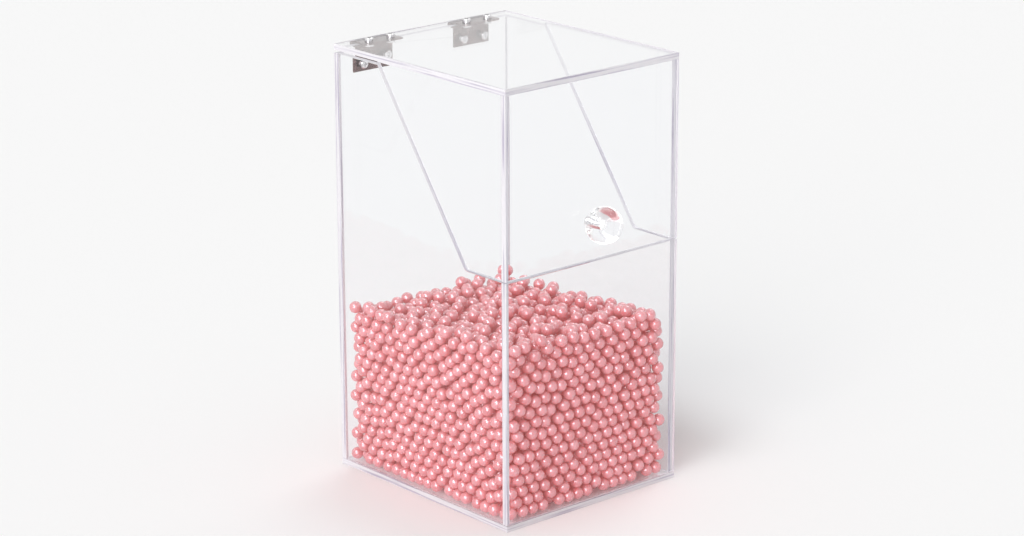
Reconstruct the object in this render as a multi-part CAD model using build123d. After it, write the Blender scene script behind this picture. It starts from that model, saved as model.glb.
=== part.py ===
from build123d import *
import math
import os
import numpy as np

# A clear acrylic brush box with a flip-up lid and a filling of pearl beads. Millimetres.
# X runs along the front, +Y goes to the back, +Z is up. The origin is the middle of the
# case's underside. The lid is drawn closed.

# Case and lid sheets
case_width = 107.0
case_depth = 122.0
case_height = 210.0
wall_sheet = 3.0
base_sheet = 3.0
top_sheet = 3.0

# Where the lid parts from the case, seen from the side
seam_height = 120.0
bend_from_front = 28.5
slant_angle = 54.4
seam_gap = 0.5
bend_radius = 4.0

# Hinges
hinge_length = 22.0
hinge_from_side = 23.25
leaf_thickness = 0.9
leaf_width = 11.0
leaf_gap = 0.5
pin_diameter = 1.4
pin_clearance = 0.02
pin_head_diameter = 2.2
pin_head_thickness = 0.5
barrel_clearance = 0.15
knuckle_gap = 0.15
middle_knuckle = 10.6

# Screws and nuts of the hinges
screw_diameter = 2.0
screw_clearance = 0.1
screw_spacing = 13.0
screw_from_axis = 7.2
head_diameter = 4.2
head_height = 1.2
head_edge_radius = 0.54
recess_width = 0.5
recess_length = 2.2
recess_depth = 0.6
nut_across_flats = 4.0
nut_thickness = 1.4
screw_beyond_nut = 0.3

# Knob
knob_diameter = 17.5
knob_standoff = 7.0
knob_above_seam = 18.2
knob_screw_diameter = 3.0
knob_screw_depth = 6.0
knob_hole_spare = 0.5
knob_head_diameter = 6.0
knob_head_height = 2.0
knob_head_edge_radius = 0.9

# Pearl filling
pearl_diameter = 6.0
pearl_gap = 0.08
pearl_wall_gap = 0.2
bed_height = 85.5
bed_rise_to_front = 7.0
bed_rise_to_left = 3.0
loose_depth = 10.5
pearl_tries = 400
pearl_seed = 7

# Worked out from the sizes above
front_y = -case_depth / 2
back_y = case_depth / 2
left_x = -case_width / 2
right_x = case_width / 2
inner_front = front_y + wall_sheet
inner_back = back_y - wall_sheet
inner_left = left_x + wall_sheet
inner_right = right_x - wall_sheet
lid_underside = case_height - top_sheet
lid_gap = leaf_thickness + leaf_gap
case_top = lid_underside - lid_gap
bend_y = front_y + bend_from_front

bore_radius = pin_diameter / 2 + pin_clearance
barrel_radius = bore_radius + leaf_thickness
axis_y = back_y + barrel_radius + barrel_clearance
axis_z = lid_underside - barrel_radius
leaf_end_y = axis_y - leaf_width
leaf_end_z = axis_z - leaf_width
hinge_places = {"left": left_x + hinge_from_side, "right": right_x - hinge_from_side}
screw_offsets = (-screw_spacing / 2, screw_spacing / 2)
screw_hole = screw_diameter + 2 * screw_clearance
lid_screw_y = axis_y - screw_from_axis
case_screw_z = axis_z - screw_from_axis

knob_z = seam_height + seam_gap + knob_above_seam
knob_y = front_y - knob_standoff


def block(x0, x1, y0, y1, z0, z1):
    """A box between two corners."""
    return Pos((x0 + x1) / 2, (y0 + y1) / 2, (z0 + z1) / 2) * Box(x1 - x0, y1 - y0, z1 - z0)


def rod(radius, length, at, direction):
    """A cylinder that starts at a point and runs along a direction."""
    return extrude(Plane(origin=at, z_dir=direction) * Circle(radius), length)


def side_sheet(points, x0):
    """A sheet one wall thick, from an outline of (y, z) points, standing at x0."""
    outline = Polyline([(0, y, z) for y, z in points], close=True)
    return Pos(x0, 0, 0) * extrude(make_face(outline), wall_sheet, dir=(1, 0, 0))


def slant_y(z, shift=0.0):
    """Where the slanted cut is at a height, moved square to the cut by a shift."""
    lean = math.radians(slant_angle)
    return bend_y + (z - seam_height) / math.tan(lean) + shift / math.sin(lean)


# ---- case panels ----


def base_panel():
    return block(left_x, right_x, front_y, back_y, 0, base_sheet)


def back_panel():
    panel = block(left_x, right_x, inner_back, back_y, base_sheet, case_top)
    for x in hinge_screw_places():
        panel -= rod(screw_hole / 2, wall_sheet, (x, inner_back, case_screw_z), (0, 1, 0))
    return panel


def front_panel():
    return block(left_x, right_x, front_y, inner_front, base_sheet, seam_height)


def case_side_panel(x0):
    """A side of the case: low in front, then up the slant to full height at the back."""
    outline = [
        (inner_front, base_sheet),
        (inner_back, base_sheet),
        (inner_back, case_top),
        (slant_y(case_top), case_top),
        (bend_y, seam_height),
        (inner_front, seam_height),
    ]
    panel = side_sheet(outline, x0)
    bend = panel.edges().filter_by(Axis.X).sort_by_distance((x0, bend_y, seam_height))[0]
    return fillet(bend, bend_radius)


# ---- lid panels ----


def lid_top_panel():
    panel = block(left_x, right_x, front_y, back_y, lid_underside, case_height)
    for x in hinge_screw_places():
        panel -= rod(screw_hole / 2, top_sheet, (x, lid_screw_y, lid_underside), (0, 0, 1))
    return panel


def lid_front_panel():
    bottom = seam_height + seam_gap
    panel = block(left_x, right_x, front_y, inner_front, bottom, lid_underside)
    hole = knob_screw_diameter / 2 + screw_clearance
    return panel - rod(hole, wall_sheet, (0, front_y, knob_z), (0, 1, 0))


def lid_side_panel(x0):
    """A side of the lid, which fills the corner in front of the slanted cut."""
    bottom = seam_height + seam_gap
    outline = [
        (inner_front, bottom),
        (slant_y(bottom, -seam_gap), bottom),
        (slant_y(lid_underside, -seam_gap), lid_underside),
        (inner_front, lid_underside),
    ]
    panel = side_sheet(outline, x0)
    bend_at = (x0, slant_y(bottom, -seam_gap), bottom)
    bend = panel.edges().filter_by(Axis.X).sort_by_distance(bend_at)[0]
    return fillet(bend, bend_radius)


# ---- hinges ----


def hinge_screw_places():
    """The X of each hinge screw, two to a hinge."""
    return [middle + offset for middle in hinge_places.values() for offset in screw_offsets]


def knuckle(x0, x1):
    """One rolled knuckle of a hinge, round the pin."""
    at = (x0, axis_y, axis_z)
    return rod(barrel_radius, x1 - x0, at, (1, 0, 0)) - rod(bore_radius, x1 - x0, at, (1, 0, 0))


def bore(middle):
    """The hole for a pin, right through a hinge."""
    start = (middle - hinge_length / 2, axis_y, axis_z)
    return rod(bore_radius, hinge_length, start, (1, 0, 0))


def case_leaf(middle):
    """The leaf on the outside of the back panel, with the two outer knuckles."""
    x0 = middle - hinge_length / 2
    x1 = middle + hinge_length / 2
    cut0 = middle - middle_knuckle / 2 - knuckle_gap
    cut1 = middle + middle_knuckle / 2 + knuckle_gap
    leaf = block(x0, x1, back_y, back_y + leaf_thickness, leaf_end_z, axis_z)
    room = axis_z - barrel_radius - knuckle_gap
    leaf -= block(cut0, cut1, back_y, back_y + leaf_thickness, room, axis_z)
    leaf += knuckle(x0, cut0) + knuckle(cut1, x1)
    leaf -= bore(middle)
    for offset in screw_offsets:
        at = (middle + offset, back_y, case_screw_z)
        leaf -= rod(screw_hole / 2, leaf_thickness, at, (0, 1, 0))
    return leaf


def lid_leaf(middle):
    """The leaf under the lid's top panel, with the middle knuckle."""
    x0 = middle - hinge_length / 2
    x1 = middle + hinge_length / 2
    tongue0 = middle - middle_knuckle / 2
    tongue1 = middle + middle_knuckle / 2
    low = lid_underside - leaf_thickness
    leaf = block(x0, x1, leaf_end_y, back_y, low, lid_underside)
    leaf += block(tongue0, tongue1, back_y, axis_y, low, lid_underside)
    leaf += knuckle(tongue0, tongue1)
    leaf -= bore(middle)
    for offset in screw_offsets:
        at = (middle + offset, lid_screw_y, low)
        leaf -= rod(screw_hole / 2, leaf_thickness, at, (0, 0, 1))
    return leaf


def hinge_pin(middle):
    """The pin with a peened head at each end."""
    x0 = middle - hinge_length / 2
    x1 = middle + hinge_length / 2
    pin = rod(pin_diameter / 2, hinge_length, (x0, axis_y, axis_z), (1, 0, 0))
    pin += rod(pin_head_diameter / 2, pin_head_thickness, (x0, axis_y, axis_z), (-1, 0, 0))
    pin += rod(pin_head_diameter / 2, pin_head_thickness, (x1, axis_y, axis_z), (1, 0, 0))
    return pin


# ---- screws and nuts: drawn with the panel's face at z = 0 and the nut's side down ----


def screw(diameter, head, height, edge_radius, length):
    """A pan-head screw with a crossed recess, its shank pointing down from z = 0."""
    body = rod(diameter / 2, length, (0, 0, 0), (0, 0, -1))
    cap = rod(head / 2, height, (0, 0, 0), (0, 0, 1))
    cap = fillet(cap.edges().group_by(Axis.Z)[-1], edge_radius)
    for size in ((recess_length, recess_width), (recess_width, recess_length)):
        cap -= Pos(0, 0, height - recess_depth / 2) * Box(size[0], size[1], recess_depth)
    return body + cap


def nut():
    """A hex nut whose upper face is at z = 0."""
    hexagon = RegularPolygon(nut_across_flats / 2, 6, major_radius=False)
    hexagon -= Circle(screw_diameter / 2 + screw_clearance)
    return extrude(hexagon, -nut_thickness)


def fixings(thing, place, face, outward):
    """One copy of a screw or a nut at each hinge screw, turned to face outward."""
    copies = [Plane(origin=place(x, face), z_dir=outward) * thing for x in hinge_screw_places()]
    return Compound(children=copies)


def on_back(x, y):
    return (x, y, case_screw_z)


def on_top(x, z):
    return (x, lid_screw_y, z)


def hinge_screw(panel):
    """A hinge screw that goes through a panel, the leaf and its nut."""
    through = panel + leaf_thickness + nut_thickness + screw_beyond_nut
    return screw(screw_diameter, head_diameter, head_height, head_edge_radius, through)


# ---- knob ----


def knob_ball():
    """A clear ball with a flat that sits on the lid front, and a blind hole for its screw."""
    ball = Pos(0, knob_y, knob_z) * Sphere(knob_diameter / 2)
    reach = knob_diameter
    ball -= block(-reach, reach, front_y, front_y + reach, knob_z - reach, knob_z + reach)
    hole = knob_screw_diameter / 2 + screw_clearance
    return ball - rod(hole, knob_screw_depth + knob_hole_spare, (0, front_y, knob_z), (0, -1, 0))


def knob_screw():
    """The knob's screw, with its head inside the lid."""
    long = wall_sheet + knob_screw_depth
    edge = knob_head_edge_radius
    body = screw(knob_screw_diameter, knob_head_diameter, knob_head_height, edge, long)
    return Plane(origin=(0, inner_front, knob_z), z_dir=(0, 1, 0)) * body


# ---- pearl filling ----


def bed_top(x, y):
    """The height of the filling's surface: a little higher in front and on the left."""
    return bed_height - bed_rise_to_front * y / case_depth - bed_rise_to_left * x / case_width


def on_base(x, y):
    """What a bead against a wall drops to: the base panel."""
    return np.full(len(x), base_sheet)


def on_bed(x, y):
    """What a bead on top drops to: the solid part of the filling."""
    return bed_top(x, y) - loose_depth


def pearl_bed():
    """The inner part of the filling, as one closed solid with a sloping top."""
    inset = pearl_wall_gap + pearl_diameter + pearl_gap
    x0 = inner_left + inset
    x1 = inner_right - inset
    y0 = inner_front + inset
    y1 = inner_back - inset
    solid = block(x0, x1, y0, y1, base_sheet, bed_height + bed_rise_to_front)
    normal = (bed_rise_to_left / case_width, bed_rise_to_front / case_depth, 1)
    cut = Plane(origin=(0, 0, bed_height - loose_depth), z_dir=normal)
    return split(solid, cut, keep=Keep.BOTTOM)


def pearl_limits():
    """The least and the greatest X and Y of a bead's centre."""
    inset = pearl_wall_gap + pearl_diameter / 2
    low = np.array([inner_left + inset, inner_front + inset])
    high = np.array([inner_right - inset, inner_back - inset])
    return low, high


def open_places(random):
    """Random places for beads, anywhere in the case."""
    low, high = pearl_limits()
    return random.uniform(low, high, (pearl_tries, 2))


def wall_places(random):
    """Random places for beads that stand against one of the four walls."""
    low, high = pearl_limits()
    places = open_places(random)
    wall = random.integers(4, size=pearl_tries)
    for axis in (0, 1):
        places[wall == axis, axis] = low[axis]
        places[wall == axis + 2, axis] = high[axis]
    return places


def pour(centres, places, support, random):
    """Adds beads up to the filling's surface: each rests at the lowest of a few places."""
    radius = pearl_diameter / 2
    apart = pearl_diameter + pearl_gap
    while True:
        tries = places(random)
        rest = support(tries[:, 0], tries[:, 1]) + radius + pearl_gap
        if len(centres):
            away = ((tries[:, None, :] - centres[None, :, :2]) ** 2).sum(2)
            lift = np.sqrt(np.clip(apart**2 - away, 0, None)) + centres[None, :, 2]
            rest = np.maximum(rest, np.where(away < apart**2, lift, 0).max(1))
        below = bed_top(tries[:, 0], tries[:, 1]) - rest
        best = int(np.argmax(below))
        if below[best] < radius:
            return centres
        centres = np.vstack([centres, [*tries[best], rest[best]]])


def pearl_centres():
    """The beads that show, by node: those against each wall, then those loose on top."""
    random = np.random.default_rng(pearl_seed)
    low, high = pearl_limits()
    ring = pour(np.zeros((0, 3)), wall_places, on_base, random)
    filled = pour(ring, open_places, on_bed, random)
    return {
        "left_wall_pearls": ring[ring[:, 0] == low[0]],
        "right_wall_pearls": ring[ring[:, 0] == high[0]],
        "front_wall_pearls": ring[ring[:, 1] == low[1]],
        "back_wall_pearls": ring[ring[:, 1] == high[1]],
        "loose_pearls": filled[len(ring) :],
    }


def beads(centres):
    bead = Sphere(pearl_diameter / 2)
    return Compound(children=[Pos(*centre) * bead for centre in centres])


def nodes():
    """Every node by name."""
    parts = {
        "base_panel": base_panel(),
        "back_panel": back_panel(),
        "front_panel": front_panel(),
        "left_side_panel": case_side_panel(left_x),
        "right_side_panel": case_side_panel(inner_right),
        "lid_top_panel": lid_top_panel(),
        "lid_front_panel": lid_front_panel(),
        "lid_left_side_panel": lid_side_panel(left_x),
        "lid_right_side_panel": lid_side_panel(inner_right),
        "case_hinge_screws": fixings(hinge_screw(wall_sheet), on_back, inner_back, (0, -1, 0)),
        "case_hinge_nuts": fixings(nut(), on_back, back_y + leaf_thickness, (0, -1, 0)),
        "lid_hinge_screws": fixings(hinge_screw(top_sheet), on_top, case_height, (0, 0, 1)),
        "lid_hinge_nuts": fixings(nut(), on_top, lid_underside - leaf_thickness, (0, 0, 1)),
        "knob_ball": knob_ball(),
        "knob_screw": knob_screw(),
        "pearl_bed": pearl_bed(),
    }
    for name, centres in pearl_centres().items():
        parts[name] = beads(centres)
    for side, middle in hinge_places.items():
        parts[side + "_hinge_case_leaf"] = case_leaf(middle)
        parts[side + "_hinge_lid_leaf"] = lid_leaf(middle)
        parts[side + "_hinge_pin"] = hinge_pin(middle)
    return parts


os.makedirs("parts", exist_ok=True)
for name, solid in nodes().items():
    export_step(solid, "parts/" + name + ".step")
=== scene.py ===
import math

import bmesh
import bpy
import numpy as np
from mathutils import Matrix, Vector


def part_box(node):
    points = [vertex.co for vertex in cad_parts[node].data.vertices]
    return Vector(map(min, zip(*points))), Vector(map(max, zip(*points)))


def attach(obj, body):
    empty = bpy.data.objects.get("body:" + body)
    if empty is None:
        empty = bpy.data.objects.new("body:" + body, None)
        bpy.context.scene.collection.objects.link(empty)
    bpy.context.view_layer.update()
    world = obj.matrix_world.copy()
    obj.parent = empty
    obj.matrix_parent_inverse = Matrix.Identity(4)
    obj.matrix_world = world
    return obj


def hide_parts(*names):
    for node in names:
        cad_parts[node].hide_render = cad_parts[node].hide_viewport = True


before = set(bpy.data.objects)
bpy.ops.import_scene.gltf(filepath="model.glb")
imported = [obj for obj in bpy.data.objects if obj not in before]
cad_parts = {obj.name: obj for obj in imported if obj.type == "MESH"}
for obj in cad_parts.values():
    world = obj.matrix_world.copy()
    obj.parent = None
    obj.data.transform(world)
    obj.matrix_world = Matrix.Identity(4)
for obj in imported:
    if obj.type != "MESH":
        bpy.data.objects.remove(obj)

# A clear acrylic brush box with a flip-up lid and a filling of pink pearl beads, in metres.

MM = 0.001

# Camera, as it stood for the photograph
CAMERA_AT = (-946.1 * MM, -1082.5 * MM, 546.9 * MM)
CAMERA_YAW, CAMERA_PITCH, CAMERA_ROLL = 41.26, -17.17, 0.22
LENS_MM, SENSOR_MM = 111.2, 36.0

# Light
BACKGROUND = 0.93
SKY_LIGHT = 0.43
FLOOR_REACH = 12.0
FLOOR_DROP = 0.05 * MM
BOUNCES = 24

# Sheets
ACRYLIC_IOR = 1.49
EDGE_GAP = 0.02 * MM
EDGE_ROUND = 0.18 * MM
EDGE_STREAK = 0.02
WELD = 0.002 * MM
FLAT_DEGREES, SHARP_DEGREES = 1, 50
SHEET_NODES = {
    "base_panel": "case",
    "back_panel": "case",
    "front_panel": "case",
    "left_side_panel": "case",
    "right_side_panel": "case",
    "lid_top_panel": "lid",
    "lid_front_panel": "lid",
    "lid_left_side_panel": "lid",
    "lid_right_side_panel": "lid",
}

# Pearls
PEARL_DIAMETER = 6.0 * MM
PEARL_EASE = 0.03 * MM
PEARL_NODES = {
    "pearls_left": "left_wall_pearls",
    "pearls_right": "right_wall_pearls",
    "pearls_front": "front_wall_pearls",
    "pearls_back": "back_wall_pearls",
    "pearls_top": "loose_pearls",
}
PEARL_REACH = PEARL_DIAMETER * 1.002
PEARL_FINE, PEARL_COARSE = 3, 2
PEARL_SEED = 11
PEARL_COUNT = 3800
# The beads are poured a little higher than the bed, and fall slightly to the left and the front
POUR_HEIGHT = 1.3
PEARL_DOWN = (-0.05, -0.1, -1.0)
# Room that a bead takes while it settles, as a share of its diameter
PEARL_ROOM = 1.03
# How far apart two beads may be to count as neighbours, and the steps between two searches
NEIGHBOUR_REACH = PEARL_DIAMETER * 1.3
STEPS_A_SEARCH = 4
# The shaking of all beads at the end
PEARL_SHAKE = 0.9 * MM
SHAKE_ROUNDS, SHAKE_PASSES, SHAKE_SHARE = 30, 6, 0.2
# Each stage of settling: first and last fall in mm a step, steps, passes a step, share of overlap
SETTLING = (
    (0.0001, 0.0001, 25, 4, 0.3),
    (0.3, 0.3, 70, 4, 0.22),
    (0.3, 0.03, 180, 5, 0.22),
    (0.03, 0.03, 50, 5, 0.22),
    (0.0001, 0.0001, 50, 6, 0.2),
)

# The knob
KNOB_SIDES, KNOB_RINGS = 96, 48
KNOB_HOLE, KNOB_HOLE_DEPTH = 1.6 * MM, 6.5 * MM
KNOB_ROUND_OFF = 0.25 * MM
KNOB_SHARP_DEGREES = 40

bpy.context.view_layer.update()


# ---- materials ----


def new_material(name):
    """A material with its Principled shader and its output."""
    material = bpy.data.materials.new(name)
    material.use_nodes = True
    nodes = material.node_tree.nodes
    return material, nodes, material.node_tree.links, nodes["Principled BSDF"]


def noise(nodes, scale, detail=2.0, squeeze=(1.0, 1.0, 1.0)):
    """A noise texture in the object's own metres, drawn out along the axes with a small squeeze."""
    place = nodes.new("ShaderNodeTexCoord")
    mapping = nodes.new("ShaderNodeMapping")
    mapping.inputs["Scale"].default_value = squeeze
    texture = nodes.new("ShaderNodeTexNoise")
    texture.inputs["Scale"].default_value = scale
    texture.inputs["Detail"].default_value = detail
    nodes.id_data.links.new(place.outputs["Object"], mapping.inputs["Vector"])
    nodes.id_data.links.new(mapping.outputs["Vector"], texture.inputs["Vector"])
    return texture


def ramp(nodes, source, low, high, at=(0.3, 0.7)):
    """A two-colour ramp driven by a value."""
    node = nodes.new("ShaderNodeValToRGB")
    node.color_ramp.elements[0].position, node.color_ramp.elements[1].position = at
    node.color_ramp.elements[0].color = (*low, 1)
    node.color_ramp.elements[1].color = (*high, 1)
    nodes.id_data.links.new(source, node.inputs["Fac"])
    return node.outputs["Color"]


def span(nodes, source, low, high):
    """A value between low and high, from one between 0 and 1."""
    node = nodes.new("ShaderNodeMapRange")
    node.inputs["To Min"].default_value = low
    node.inputs["To Max"].default_value = high
    nodes.id_data.links.new(source, node.inputs["Value"])
    return node.outputs["Result"]


def let_light_through(nodes, shader, pass_tint):
    """Lets the light for what is inside go straight through a shader."""
    links = nodes.id_data.links
    through = nodes.new("ShaderNodeBsdfTransparent")
    through.inputs["Color"].default_value = (*pass_tint, 1)
    ray = nodes.new("ShaderNodeLightPath")
    either = nodes.new("ShaderNodeMath")
    either.operation = "MAXIMUM"
    links.new(ray.outputs["Is Shadow Ray"], either.inputs[0])
    links.new(ray.outputs["Is Diffuse Ray"], either.inputs[1])
    mix = nodes.new("ShaderNodeMixShader")
    links.new(either.outputs[0], mix.inputs["Fac"])
    links.new(shader.outputs[0], mix.inputs[1])
    links.new(through.outputs[0], mix.inputs[2])
    links.new(mix.outputs[0], nodes["Material Output"].inputs["Surface"])


def clear_acrylic(name, tint, pass_tint, shine):
    """Clear polished acrylic, with faint wiping marks in its gloss."""
    material, nodes, links, shader = new_material(name)
    shader.inputs["Base Color"].default_value = (*tint, 1)
    shader.inputs["Transmission Weight"].default_value = 1.0
    shader.inputs["IOR"].default_value = ACRYLIC_IOR
    shader.inputs["Specular Tint"].default_value = (shine, shine, shine, 1)
    wear = noise(nodes, 90.0, 4.0)
    links.new(span(nodes, wear.outputs["Fac"], 0.0, 0.02), shader.inputs["Roughness"])
    let_light_through(nodes, shader, pass_tint)
    return material


def acrylic_edge_painted_glow(thin):
    """A sawn and flamed edge of a sheet that is thin along one axis, with darker streaks along it. Its pale,
    nearly white colour is painted glow, standing in for light carried inside the sheet.
    """
    material, nodes, links, shader = new_material("acrylic_edge_painted_glow_" + "xyz"[thin])
    squeeze = [EDGE_STREAK] * 3
    squeeze[thin] = 1.0
    streaks = noise(nodes, 900.0, 3.0, squeeze)
    # Painted glow: the pale colours stand in for light carried inside the sheet; the streaks run along the
    # edge.
    colour = ramp(nodes, streaks.outputs["Fac"], (0.45, 0.41, 0.51), (0.76, 0.74, 0.77), (0.36, 0.5))
    links.new(colour, shader.inputs["Base Color"])
    links.new(span(nodes, streaks.outputs["Fac"], 0.35, 0.55), shader.inputs["Roughness"])
    shader.inputs["Transmission Weight"].default_value = 0.18
    shader.inputs["IOR"].default_value = ACRYLIC_IOR
    shader.inputs["Specular IOR Level"].default_value = 0.3
    let_light_through(nodes, shader, (0.86, 0.86, 0.88))
    return material


def pearl_material():
    """A pink bead with a nacre skin: a lustrous lavender shine over a salmon body, and a faint red painted glow
    that lifts the shade between the beads.
    """
    material, nodes, links, shader = new_material("pearl_pink")
    island = nodes.new("ShaderNodeNewGeometry").outputs["Random Per Island"]
    body = ramp(nodes, island, (0.60, 0.20, 0.215), (0.67, 0.27, 0.29), (0.0, 1.0))
    links.new(body, shader.inputs["Base Color"])
    # Painted glow: a faint red emission that lifts the shaded gaps between the beads.
    shader.inputs["Emission Color"].default_value = (1.0, 0.1, 0.07, 1)
    shader.inputs["Emission Strength"].default_value = 0.09
    shader.inputs["Subsurface Weight"].default_value = 0.5
    shader.inputs["Subsurface Radius"].default_value = (1.0, 0.22, 0.2)
    shader.inputs["Subsurface Scale"].default_value = 1.8 * MM
    cloud = noise(nodes, 420.0, 3.0)
    links.new(span(nodes, cloud.outputs["Fac"], 0.09, 0.18), shader.inputs["Roughness"])
    shader.inputs["IOR"].default_value = 2.1
    shader.inputs["Specular Tint"].default_value = (0.97, 0.86, 0.95, 1)
    shader.inputs["Coat Weight"].default_value = 0.8
    shader.inputs["Coat Roughness"].default_value = 0.03
    shader.inputs["Sheen Weight"].default_value = 0.3
    shader.inputs["Sheen Tint"].default_value = (1.0, 0.58, 0.52, 1)
    return material


def hinge_material():
    """Dark polished bronze plating with fine dull patches in its colour and gloss."""
    material, nodes, links, shader = new_material("hinge_bronze")
    shader.inputs["Metallic"].default_value = 1.0
    patch = noise(nodes, 260.0, 5.0)
    colour = ramp(nodes, patch.outputs["Fac"], (0.11, 0.056, 0.055), (0.20, 0.11, 0.105))
    links.new(colour, shader.inputs["Base Color"])
    links.new(span(nodes, patch.outputs["Fac"], 0.16, 0.34), shader.inputs["Roughness"])
    return material


def screw_material():
    """Bright nickel plating with light wear."""
    material, nodes, links, shader = new_material("screw_nickel")
    shader.inputs["Metallic"].default_value = 1.0
    patch = noise(nodes, 700.0, 4.0)
    colour = ramp(nodes, patch.outputs["Fac"], (0.62, 0.61, 0.62), (0.86, 0.85, 0.86))
    links.new(colour, shader.inputs["Base Color"])
    links.new(span(nodes, patch.outputs["Fac"], 0.1, 0.26), shader.inputs["Roughness"])
    return material


def floor_material():
    """A plain pale studio floor."""
    material, nodes, links, shader = new_material("studio_floor")
    shader.inputs["Base Color"].default_value = (0.93, 0.93, 0.93, 1)
    shader.inputs["Roughness"].default_value = 0.9
    shader.inputs["Specular IOR Level"].default_value = 0.0
    return material


# ---- meshes ----


def add_object(name, mesh, material, body):
    """A new piece of the object, riding on a body."""
    piece = bpy.data.objects.new(name, mesh)
    bpy.context.scene.collection.objects.link(piece)
    piece.data.materials.clear()
    piece.data.materials.append(material)
    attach(piece, body)
    return piece


def bevelled_copy(node, body, material, inset, width):
    """The same shape as a CAD node, a hair smaller, with softly broken edges."""
    source = bmesh.new()
    source.from_mesh(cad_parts[node].data)
    bmesh.ops.remove_doubles(source, verts=source.verts, dist=WELD)
    bmesh.ops.dissolve_limit(
        source, angle_limit=math.radians(FLAT_DEGREES), verts=source.verts, edges=source.edges
    )
    low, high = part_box(node)
    for vertex in source.verts:
        for axis in range(3):
            if vertex.co[axis] - low[axis] < inset / 4:
                vertex.co[axis] += inset
            elif high[axis] - vertex.co[axis] < inset / 4:
                vertex.co[axis] -= inset
    mesh = bpy.data.meshes.new(node + "_shape")
    source.to_mesh(mesh)
    source.free()
    piece = add_object(node + "_visual", mesh, material, body)
    thin = min(range(3), key=lambda axis: high[axis] - low[axis])
    # Faces across the thin axis take the edge material, whose pale colour is painted glow.
    mesh.materials.append(EDGES_WITH_PAINTED_GLOW[thin])
    for face in mesh.polygons:
        face.material_index = 0 if abs(face.normal[thin]) > 0.9 else 1
    bevel = piece.modifiers.new("edges", "BEVEL")
    bevel.width = width
    bevel.segments = 2
    bevel.limit_method = "ANGLE"
    bevel.angle_limit = math.radians(SHARP_DEGREES)
    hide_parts(node)


def make_sheets():
    for node, body in SHEET_NODES.items():
        material = LID_TOP if node == "lid_top_panel" else ACRYLIC
        bevelled_copy(node, body, material, EDGE_GAP, EDGE_ROUND)


# ---- pearls ----


def near_pairs(points, reach):
    """Index pairs of points closer than about reach, by sorting them into cells."""
    cell = np.floor((points - points.min(0)) / reach).astype(np.int64) + 1
    size = cell.max(0) + 2
    key = (cell[:, 0] * size[1] + cell[:, 1]) * size[2] + cell[:, 2]
    order = np.argsort(key, kind="stable")
    sorted_key = key[order]
    firsts, seconds = [], []
    for dx in (-1, 0, 1):
        for dy in (-1, 0, 1):
            for dz in (-1, 0, 1):
                step = (dx * size[1] + dy) * size[2] + dz
                if step < 0:
                    continue
                start = np.searchsorted(sorted_key, key + step, "left")
                stop = np.searchsorted(sorted_key, key + step, "right")
                count = stop - start
                first = np.repeat(np.arange(len(points)), count)
                offset = np.arange(count.sum()) - np.repeat(np.cumsum(count) - count, count)
                second = order[np.repeat(start, count) + offset]
                if step == 0:
                    keep = first < second
                    first, second = first[keep], second[keep]
                firsts.append(first)
                seconds.append(second)
    first, second = np.concatenate(firsts), np.concatenate(seconds)
    close = ((points[first] - points[second]) ** 2).sum(1) < reach**2
    return first[close], second[close]


def push_apart(points, first, second, diameter, low, high, share):
    """Moves overlapping beads apart and back inside the walls."""
    away = points[first] - points[second]
    distance = np.sqrt((away**2).sum(1)) + 1e-12
    overlap = np.clip(diameter - distance, 0, None)
    move = away * (overlap / distance * share)[:, None]
    for axis in range(3):
        points[:, axis] += np.bincount(first, move[:, axis], len(points))
        points[:, axis] -= np.bincount(second, move[:, axis], len(points))
    np.clip(points[:, :2], low[:2], high[:2], out=points[:, :2])
    points[:, 2] = np.maximum(points[:, 2], low[2])


def settled_pearls(low, high):
    """Bead centres poured into the case and settled, in metres."""
    random = np.random.default_rng(PEARL_SEED)
    start_high = np.array([high[0], high[1], low[2] + (high[2] - low[2]) * POUR_HEIGHT])
    points = random.uniform(low, start_high, (PEARL_COUNT, 3))
    down = np.array(PEARL_DOWN) * MM
    taken = 0
    for first_fall, last_fall, steps, passes, share in SETTLING:
        for fall in np.geomspace(first_fall, last_fall, steps):
            if taken % STEPS_A_SEARCH == 0:
                first, second = near_pairs(points, NEIGHBOUR_REACH)
            taken += 1
            points += down * fall
            for _ in range(passes):
                push_apart(points, first, second, PEARL_DIAMETER * PEARL_ROOM, low, high, share)
    return points


def ball_mesh(subdivisions):
    """Vertices and triangles of one round bead of radius 1."""
    ball = bmesh.new()
    bmesh.ops.create_icosphere(ball, subdivisions=subdivisions, radius=1.0)
    vertices = np.array([v.co[:] for v in ball.verts])
    faces = np.array([[v.index for v in f.verts] for f in ball.faces])
    ball.free()
    return vertices, faces


def beads_mesh(name, centres, radius, subdivisions):
    """One mesh that holds a bead at each centre."""
    vertices, faces = ball_mesh(subdivisions)
    count = len(centres)
    all_vertices = (centres[:, None, :] + vertices[None] * radius).reshape(-1, 3)
    shift = (np.arange(count) * len(vertices))[:, None, None]
    all_faces = (faces[None] + shift).reshape(-1, 3)
    mesh = bpy.data.meshes.new(name)
    mesh.vertices.add(len(all_vertices))
    mesh.vertices.foreach_set("co", all_vertices.astype(np.float32).ravel())
    mesh.loops.add(all_faces.size)
    mesh.loops.foreach_set("vertex_index", all_faces.astype(np.int32).ravel())
    mesh.polygons.add(len(all_faces))
    mesh.polygons.foreach_set("loop_start", np.arange(0, all_faces.size, 3, dtype=np.int32))
    mesh.polygons.foreach_set("use_smooth", np.ones(len(all_faces), bool))
    mesh.update(calc_edges=True)
    mesh.validate()
    return mesh


def node_points(node):
    """The vertices of a CAD node, as an array."""
    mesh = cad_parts[node].data
    points = np.empty(len(mesh.vertices) * 3, np.float32)
    mesh.vertices.foreach_get("co", points)
    return points.reshape(-1, 3).astype(float)


def bead_centres(node):
    """The middle of each bead in a CAD node, whose beads follow one another and are alike."""
    points = node_points(node)
    reach = np.maximum.accumulate(points) - np.minimum.accumulate(points)
    vertices_each = int(np.argmax(reach.max(1) > PEARL_REACH))
    each = points.reshape(-1, vertices_each, 3)
    return (each.min(1) + each.max(1)) / 2


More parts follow.
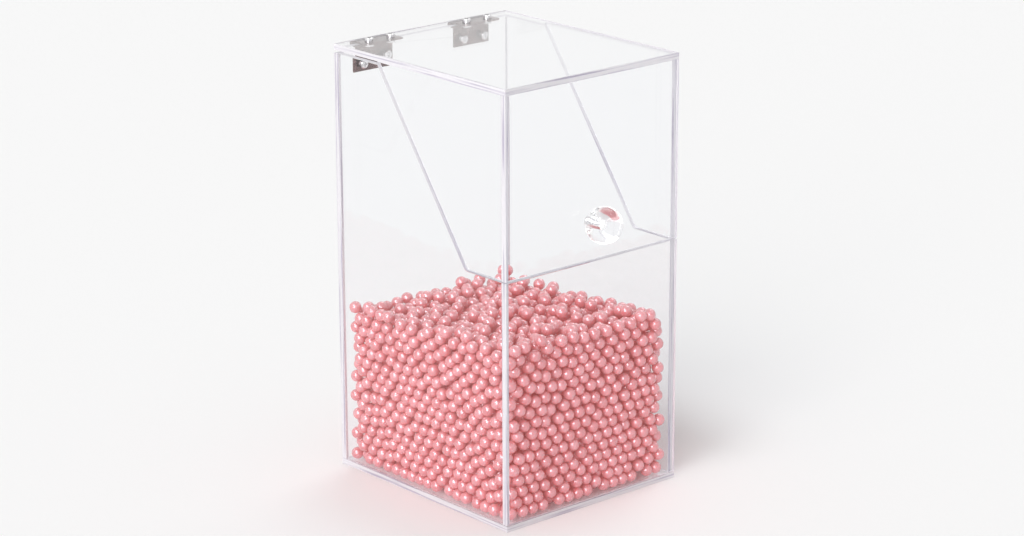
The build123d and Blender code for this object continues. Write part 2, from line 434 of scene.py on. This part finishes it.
def inner_pearls():
    """Bead centres that fill the room of the CAD's inner bed, up to its sloping top."""
    radius = PEARL_DIAMETER / 2
    low, high = (np.array(corner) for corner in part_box("pearl_bed"))
    points = settled_pearls(low + radius, high - radius)
    corners = node_points("pearl_bed")
    top = corners[corners[:, 2] > (low[2] + high[2]) / 2]
    plane = np.column_stack([top[:, :2], np.ones(len(top))])
    slope = np.linalg.lstsq(plane, top[:, 2], rcond=None)[0]
    below = points[:, :2] @ slope[:2] + slope[2] - points[:, 2]
    inside = below > radius
    points, below = points[inside], below[inside]
    depth = np.minimum(points - low, high - points).min(1)
    return points, np.minimum(depth, below)


def add_pearls(name, centres, fineness, node):
    """One piece of beads in place of a CAD node."""
    mesh = beads_mesh(name, centres, PEARL_DIAMETER / 2 - PEARL_EASE, fineness)
    piece = add_object(name, mesh, PEARL, "case")
    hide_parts(node)


def shaken(points):
    """The beads shaken out of their rows, then moved apart and kept inside the walls."""
    random = np.random.default_rng(PEARL_SEED + 1)
    low, high = points.min(0), points.max(0)
    moved = points + random.normal(0, PEARL_SHAKE, points.shape)
    for _ in range(SHAKE_ROUNDS):
        first, second = near_pairs(moved, NEIGHBOUR_REACH)
        for _ in range(SHAKE_PASSES):
            push_apart(moved, first, second, PEARL_DIAMETER, low, high, SHAKE_SHARE)
    return moved


def make_pearls():
    """The whole filling: finer beads where they show, plainer ones deep inside."""
    groups = [bead_centres(node) for node in PEARL_NODES.values()]
    inner, depth = inner_pearls()
    near = depth < PEARL_DIAMETER
    groups += [inner[near], inner[~near]]
    moved = shaken(np.concatenate(groups))
    parts = np.split(moved, np.cumsum([len(group) for group in groups])[:-1])
    for (name, node), centres in zip(PEARL_NODES.items(), parts):
        add_pearls(name, centres, PEARL_FINE, node)
    add_pearls("pearls_second_layer", parts[-2], PEARL_FINE, "pearl_bed")
    add_pearls("pearls_deep", parts[-1], PEARL_COARSE, "pearl_bed")


# ---- knob ----


def make_knob():
    """The clear ball as a finely turned solid, with the flat that sits on the lid."""
    ball_low, ball_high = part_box("knob_ball")
    radius = (ball_high[2] - ball_low[2]) / 2
    centre = Vector(((ball_low[0] + ball_high[0]) / 2, ball_low[1] + radius, (ball_low[2] + ball_high[2]) / 2))
    flat = ball_high[1] - EDGE_GAP - centre.y
    bottom = flat - KNOB_HOLE_DEPTH
    edge = math.acos(flat / radius)
    profile = [(radius * math.sin(a), radius * math.cos(a)) for a in np.linspace(math.pi, edge, KNOB_RINGS)]
    rim = radius * math.sin(edge)
    profile[-1] = (rim - KNOB_ROUND_OFF * 0.2, flat - KNOB_ROUND_OFF * 0.5)
    profile += [(rim - KNOB_ROUND_OFF, flat), (KNOB_HOLE, flat), (KNOB_HOLE, bottom), (0, bottom)]
    shape = bmesh.new()
    rings = []
    for r, along in profile:
        if r < 1e-9:
            rings.append([shape.verts.new((0, along, 0))])
            continue
        ring = []
        for side in range(KNOB_SIDES):
            angle = 2 * math.pi * side / KNOB_SIDES
            ring.append(shape.verts.new((r * math.cos(angle), along, r * math.sin(angle))))
        rings.append(ring)
    for one, two in zip(rings, rings[1:]):
        for side in range(KNOB_SIDES):
            after = (side + 1) % KNOB_SIDES
            corners = [one[side % len(one)], one[after % len(one)], two[after % len(two)], two[side % len(two)]]
            shape.faces.new(list(dict.fromkeys(corners)))
    bmesh.ops.recalc_face_normals(shape, faces=shape.faces)
    bmesh.ops.translate(shape, verts=shape.verts, vec=centre)
    mesh = bpy.data.meshes.new("knob_ball_shape")
    shape.to_mesh(mesh)
    shape.free()
    for face in mesh.polygons:
        face.use_smooth = True
    mesh.set_sharp_from_angle(angle=math.radians(KNOB_SHARP_DEGREES))
    piece = add_object("knob_ball_visual", mesh, KNOB, "lid")
    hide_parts("knob_ball")


# ---- metal ----


def dress_metal():
    """Better materials in the slots of the metal pieces that are kept as they are."""
    for node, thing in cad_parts.items():
        if "screw" in node or "nuts" in node:
            thing.material_slots[0].material = NICKEL
        elif "hinge" in node:
            thing.material_slots[0].material = BRONZE


# ---- stage, light and camera ----


def make_stage():
    mesh = bpy.data.meshes.new("floor")
    corners = [(x * FLOOR_REACH, y * FLOOR_REACH, 0) for x, y in ((-1, -1), (1, -1), (1, 1), (-1, 1))]
    mesh.from_pydata(corners, [], [(0, 1, 2, 3)])
    floor = bpy.data.objects.new("floor", mesh)
    bpy.context.scene.collection.objects.link(floor)
    floor.location.z = -FLOOR_DROP
    floor.data.materials.append(floor_material())


def make_world():
    """A pale sky. Straight views, mirrors and glass see the background's own shade."""
    world = bpy.data.worlds.new("studio")
    bpy.context.scene.world = world
    world.use_nodes = True
    nodes, links = world.node_tree.nodes, world.node_tree.links
    ray = nodes.new("ShaderNodeLightPath")
    seen = ray.outputs["Is Camera Ray"]
    for name in ("Is Glossy Ray", "Is Transmission Ray"):
        either = nodes.new("ShaderNodeMath")
        either.operation = "MAXIMUM"
        links.new(seen, either.inputs[0])
        links.new(ray.outputs[name], either.inputs[1])
        seen = either.outputs[0]
    strength = nodes.new("ShaderNodeMapRange")
    strength.inputs["To Min"].default_value = SKY_LIGHT
    strength.inputs["To Max"].default_value = BACKGROUND
    links.new(seen, strength.inputs["Value"])
    shade = nodes["Background"]
    shade.inputs["Color"].default_value = (1, 1, 1, 1)
    links.new(strength.outputs["Result"], shade.inputs["Strength"])


def add_sun(name, azimuth, elevation, strength, width):
    """A soft distant lamp. Azimuth 0 is in front of the box, 90 on its right."""
    light = bpy.data.lights.new(name, "SUN")
    light.energy = strength
    light.angle = math.radians(width)
    lamp = bpy.data.objects.new(name, light)
    bpy.context.scene.collection.objects.link(lamp)
    a, e = math.radians(azimuth), math.radians(elevation)
    towards = Vector((math.sin(a) * math.cos(e), -math.cos(a) * math.cos(e), math.sin(e)))
    lamp.rotation_euler = towards.to_track_quat("Z", "Y").to_euler()


def make_lights():
    add_sun("left_softbox", -85, 48, 0.92, 22)
    add_sun("camera_side_softbox", -60, 22, 2.0, 42)
    add_sun("back_softbox", 115, 50, 0.5, 28)


def make_camera():
    data = bpy.data.cameras.new("camera")
    camera = bpy.data.objects.new("camera", data)
    bpy.context.scene.collection.objects.link(camera)
    data.sensor_width = SENSOR_MM
    data.lens = LENS_MM
    data.clip_start, data.clip_end = 0.05, 60
    yaw, pitch, roll = (math.radians(a) for a in (CAMERA_YAW, CAMERA_PITCH, CAMERA_ROLL))
    look = Vector((math.sin(yaw) * math.cos(pitch), math.cos(yaw) * math.cos(pitch), math.sin(pitch)))
    turn = look.to_track_quat("-Z", "Y").to_matrix().to_4x4()
    camera.matrix_world = Matrix.Translation(CAMERA_AT) @ turn @ Matrix.Rotation(-roll, 4, "Z")
    bpy.context.scene.camera = camera


def set_render():
    scene = bpy.context.scene
    scene.view_settings.view_transform = "Standard"
    scene.cycles.max_bounces = BOUNCES
    scene.cycles.transmission_bounces = BOUNCES
    scene.cycles.glossy_bounces = BOUNCES
    scene.cycles.transparent_max_bounces = BOUNCES
    scene.cycles.caustics_refractive = False
    scene.cycles.caustics_reflective = False


ACRYLIC = clear_acrylic("clear_acrylic", (0.99, 0.993, 1.0), (0.97, 0.972, 0.98), 0.5)
KNOB = clear_acrylic("knob_acrylic", (0.99, 0.99, 1.0), (0.95, 0.95, 0.96), 1.0)
LID_TOP = clear_acrylic("clear_acrylic_lid_top", (0.99, 0.993, 1.0), (0.97, 0.972, 0.98), 1.0)
# Edge materials whose pale colour is painted glow of light carried inside the sheets.
EDGES_WITH_PAINTED_GLOW = [acrylic_edge_painted_glow(axis) for axis in range(3)]
PEARL = pearl_material()
BRONZE = hinge_material()
NICKEL = screw_material()

make_camera()
make_stage()
make_world()
make_lights()
make_sheets()
make_pearls()
make_knob()
dress_metal()
set_render()
